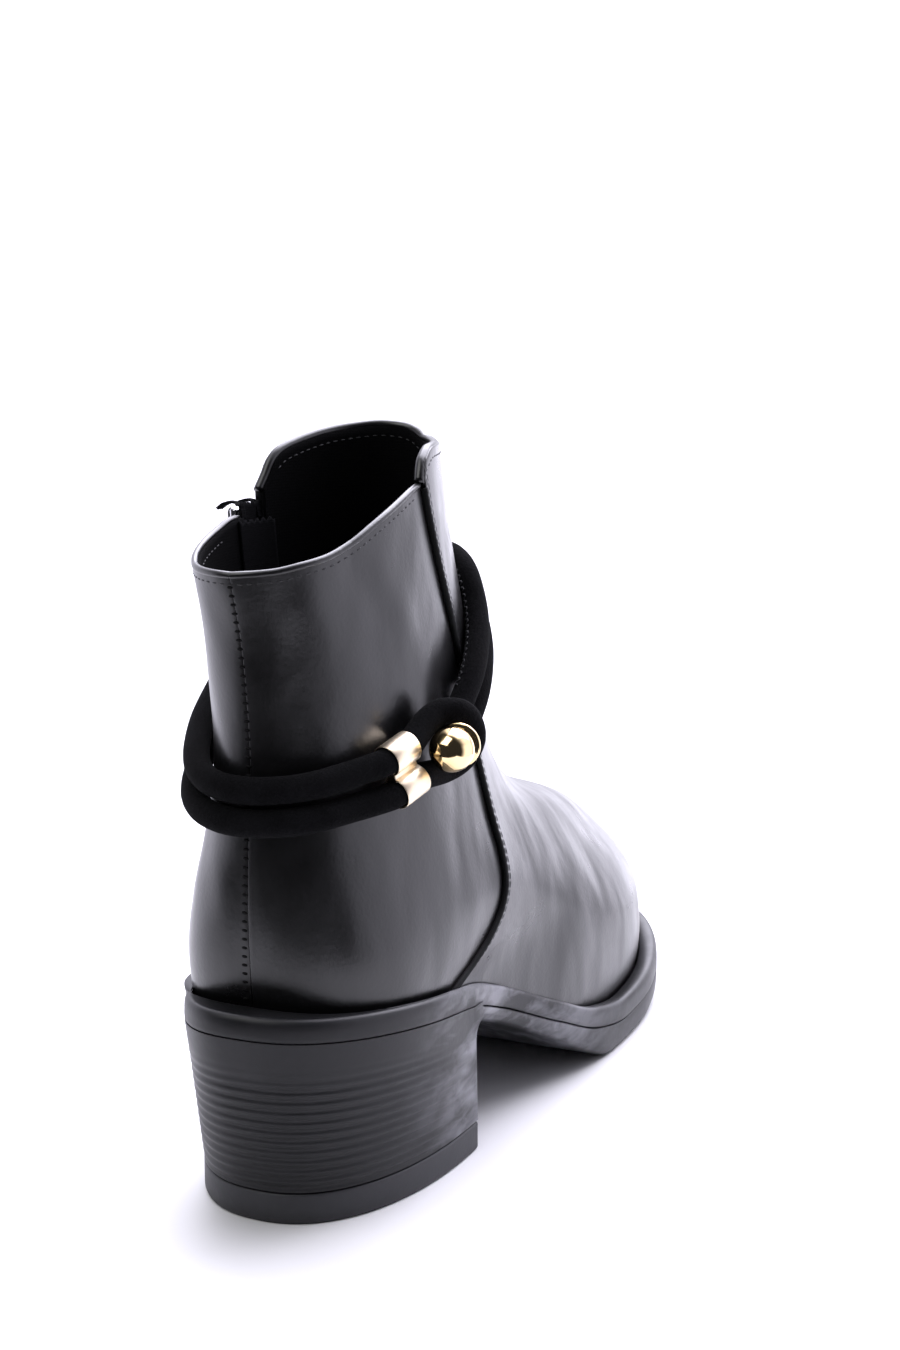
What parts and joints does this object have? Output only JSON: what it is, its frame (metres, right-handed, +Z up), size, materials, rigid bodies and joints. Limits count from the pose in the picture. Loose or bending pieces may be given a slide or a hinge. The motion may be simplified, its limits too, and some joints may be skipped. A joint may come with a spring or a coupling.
{
  "type": "mid heel ankle boot",
  "caption": "Right black leather ankle boot with a ribbed block heel, rubber sole, side zip and a round ankle cord closed by a metal ball through a loop.",
  "frame": {"origin": "centre of the heel's ground face", "axes": "+X from the heel to the toe, +Y to the inner (medial) side with the zip, +Z up"},
  "size_m": [0.2546, 0.0908, 0.1949],
  "materials": {
    "leather": "semi gloss",
    "sole_rubber": "satin",
    "lift_rubber": "satin",
    "lining": "matte",
    "zip_tape": "matte",
    "zip_metal": "polished",
    "pull_metal": "satin",
    "cord": "napped",
    "gold_metal": "polished"
  },
  "bodies": {
    "boot": {"upper": "leather", "outsole": "sole_rubber", "rand": "sole_rubber", "top_lift": "lift_rubber", "insole": "lining", "zip_tape": "zip_tape", "zip_slider": "zip_metal", "ankle_cord": "cord", "cord_clamp": "gold_metal", "ball_toggle": "gold_metal"},
    "pull": {"zip_pull": "pull_metal"}
  },
  "joints": [
    {"name": "pull_hinge", "type": "hinge", "parent": "boot", "child": "pull", "pos_m": [0.01755, 0.03146, 0.17122], "axis": [0.9922, -0.0343, 0.1195], "range_deg": [0, 165]}
  ]
}
